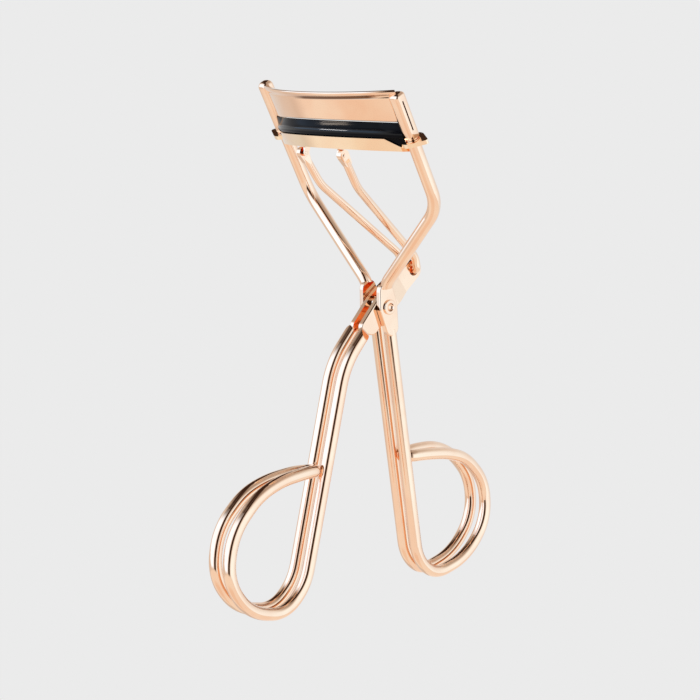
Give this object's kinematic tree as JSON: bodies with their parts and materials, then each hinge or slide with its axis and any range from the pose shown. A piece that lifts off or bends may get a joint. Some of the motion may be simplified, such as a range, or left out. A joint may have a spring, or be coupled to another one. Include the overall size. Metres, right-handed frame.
{
  "type": "eyelash curler",
  "caption": "Upright wire eyelash curler: curved plate jaw on two posts, sliding lower jaw with a rubber pad, crossed handles with finger loops and a link wire.",
  "frame": {"origin": "centre of the pivot rivet, on the mirror plane", "axes": "+X along the rivet and across the jaw, +Z from the finger loops up to the jaw, -Y towards the side that the jaw bulges to"},
  "size_m": [0.0434, 0.0725, 0.1027],
  "materials": {
    "rose_gold": "polished rose-gold plating",
    "rubber": "smooth glossy black rubber"
  },
  "bodies": {
    "frame": {"rear_handle_wire": "rose_gold", "pivot_rivet": "rose_gold", "left_post_sleeve": "rose_gold", "right_post_sleeve": "rose_gold", "upper_jaw_plate": "rose_gold"},
    "front_handle": {"front_handle_wire": "rose_gold", "pivot_spacer": "rose_gold"},
    "lower_jaw": {"lower_jaw_channel": "rose_gold", "rubber_pad": "rubber", "left_link_lug": "rose_gold", "right_link_lug": "rose_gold", "left_link_pin": "rose_gold", "right_link_pin": "rose_gold"},
    "link": {"link_wire": "rose_gold"}
  },
  "joints": [
    {"name": "handle_pivot", "type": "hinge", "parent": "frame", "child": "front_handle", "pos_m": [0, 0, 0], "axis": [1, 0, 0], "range_deg": [-38, 0]},
    {"name": "jaw_slide", "type": "slide", "parent": "frame", "child": "lower_jaw", "axis": [0, -0.497, 0.8678], "range_m": [-0.00673, 0]},
    {"name": "link_hinge", "type": "hinge", "parent": "lower_jaw", "child": "link", "pos_m": [0, -0.01585, 0.0299], "axis": [1, 0, 0], "range_deg": [-1.53, 0]}
  ],
  "couplings": [
    {"joint": "jaw_slide", "follows": "handle_pivot", "m_per_rad": 0.010118},
    {"joint": "link_hinge", "follows": "handle_pivot", "ratio": 0.03949}
  ]
}
